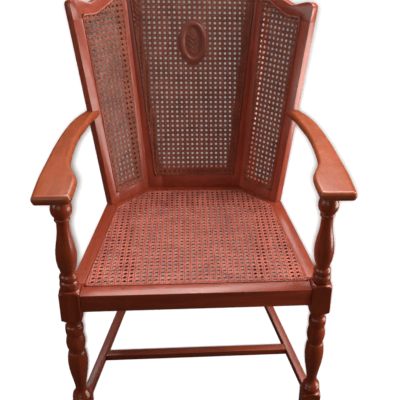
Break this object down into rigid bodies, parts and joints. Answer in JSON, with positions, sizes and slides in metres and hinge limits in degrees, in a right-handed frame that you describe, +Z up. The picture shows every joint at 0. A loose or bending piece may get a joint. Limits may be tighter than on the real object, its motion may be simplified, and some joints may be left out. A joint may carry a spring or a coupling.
{
  "type": "planters chair",
  "caption": "Armchair with a caned seat, a reclined caned back with an oval medallion, two angled caned wings, bowed flat arms, turned front legs, raked rear legs and stretchers.",
  "frame": {"origin": "on the floor, under the middle of the chair's bounding box", "axes": "+Z up, the front of the chair looks along -Y, +X to the viewer's right when the chair is seen from the front"},
  "size_m": [0.592, 0.6068, 0.9693],
  "materials": {
    "seat_wood": "glossy red-brown mahogany stain",
    "back_wood": "glossy red-brown mahogany stain",
    "arm_wood": "glossy red-brown mahogany stain",
    "turned_wood": "glossy dark red-brown mahogany stain",
    "spline_wood": "satin stained reed",
    "carved_wood": "satin red-brown stain",
    "cane": "satin red-brown stained cane"
  },
  "bodies": {
    "root": {"arm_left": "arm_wood", "arm_right": "arm_wood", "back_bottom_rail": "back_wood", "back_cane": "cane", "back_crest_rail": "back_wood", "back_spline": "spline_wood", "back_stile_left": "back_wood", "back_stile_right": "back_wood", "cross_stretcher": "turned_wood", "front_leg_left": "turned_wood", "front_leg_right": "turned_wood", "medallion": "carved_wood", "medallion_backing": "carved_wood", "rear_leg_left": "turned_wood", "rear_leg_right": "turned_wood", "seat_back_rail": "seat_wood", "seat_cane": "cane", "seat_front_rail": "seat_wood", "seat_gusset_left": "seat_wood", "seat_gusset_right": "seat_wood", "seat_side_rail_left": "seat_wood", "seat_side_rail_right": "seat_wood", "seat_spline": "spline_wood", "side_stretcher_left": "turned_wood", "side_stretcher_right": "turned_wood", "wing_bottom_rail_left": "back_wood", "wing_bottom_rail_right": "back_wood", "wing_cane_left": "cane", "wing_cane_right": "cane", "wing_inner_stile_left": "back_wood", "wing_inner_stile_right": "back_wood", "wing_outer_stile_left": "back_wood", "wing_outer_stile_right": "back_wood", "wing_spline_left": "spline_wood", "wing_spline_right": "spline_wood", "wing_top_rail_left": "back_wood", "wing_top_rail_right": "back_wood"}
  },
  "joints": []
}
